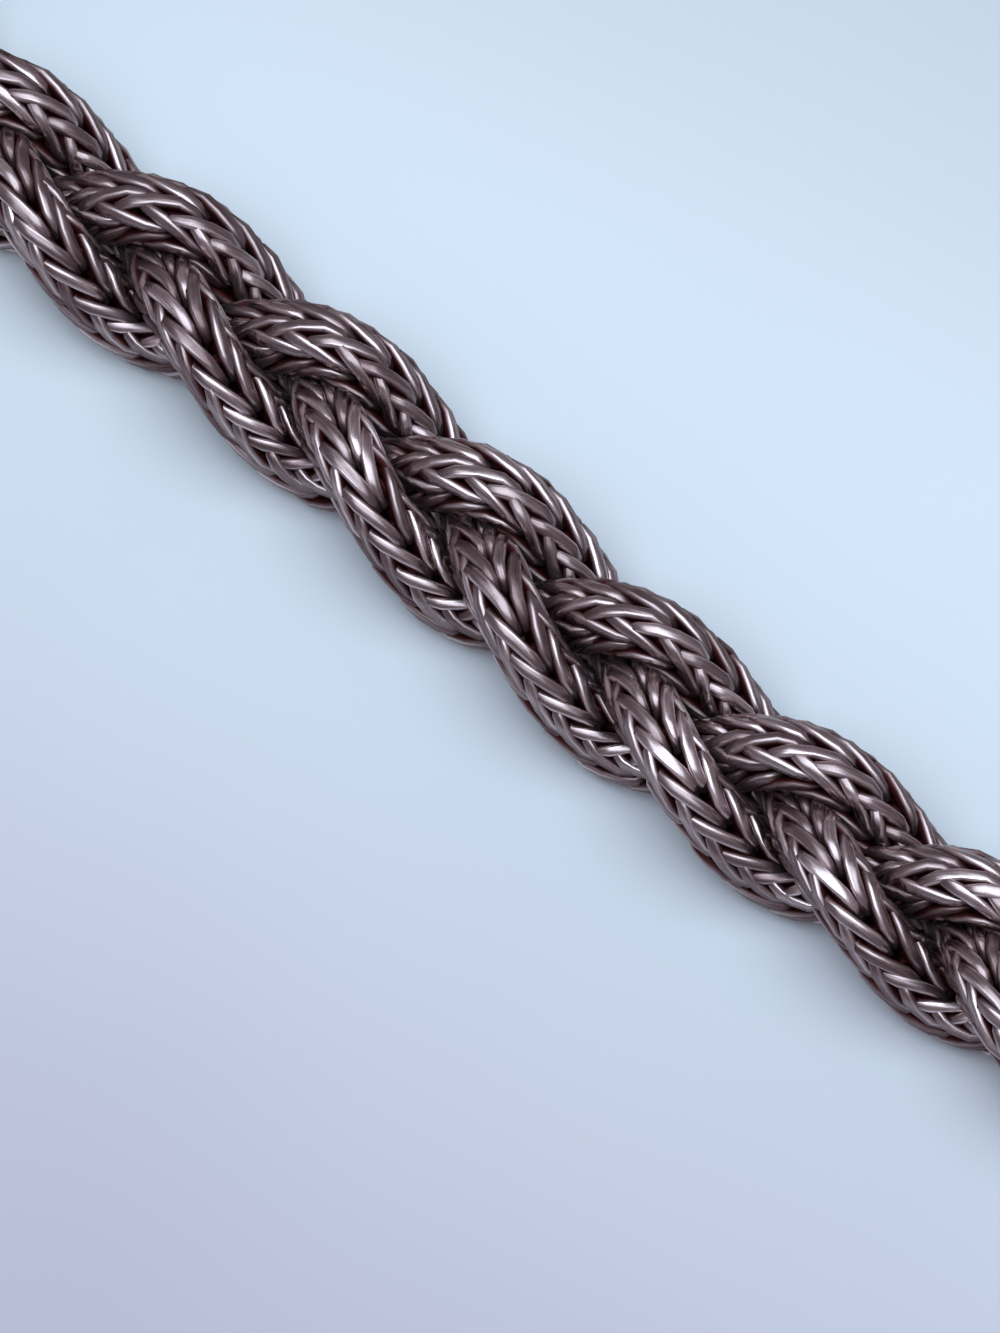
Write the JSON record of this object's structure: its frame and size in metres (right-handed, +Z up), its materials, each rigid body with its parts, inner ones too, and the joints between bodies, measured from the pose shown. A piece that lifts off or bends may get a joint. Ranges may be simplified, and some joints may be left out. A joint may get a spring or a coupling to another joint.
{
  "type": "braided chain bracelet",
  "caption": "Closed bracelet plaited flat from foxtail chains of dark oxidised silver, with plain end caps and an S-shaped hook on its far side.",
  "frame": {"origin": "middle of the closed loop's own box, on the surface that it lies on", "axes": "+Z up, +X along the long straight stretch of the loop, +Y from that stretch across the wrist space to the clasp"},
  "size_m": [0.0944, 0.0514, 0.0069],
  "materials": {
    "chain_silver": "oxidised silver, worn bright on the outer wires and dark between them",
    "fitting_silver": "oxidised silver, smooth and lightly worn"
  },
  "bodies": {
    "root": {"strand_a": "chain_silver", "strand_b": "chain_silver", "strand_c": "chain_silver", "end_cap_a": "fitting_silver", "end_cap_b": "fitting_silver", "clasp": "fitting_silver"}
  },
  "joints": []
}
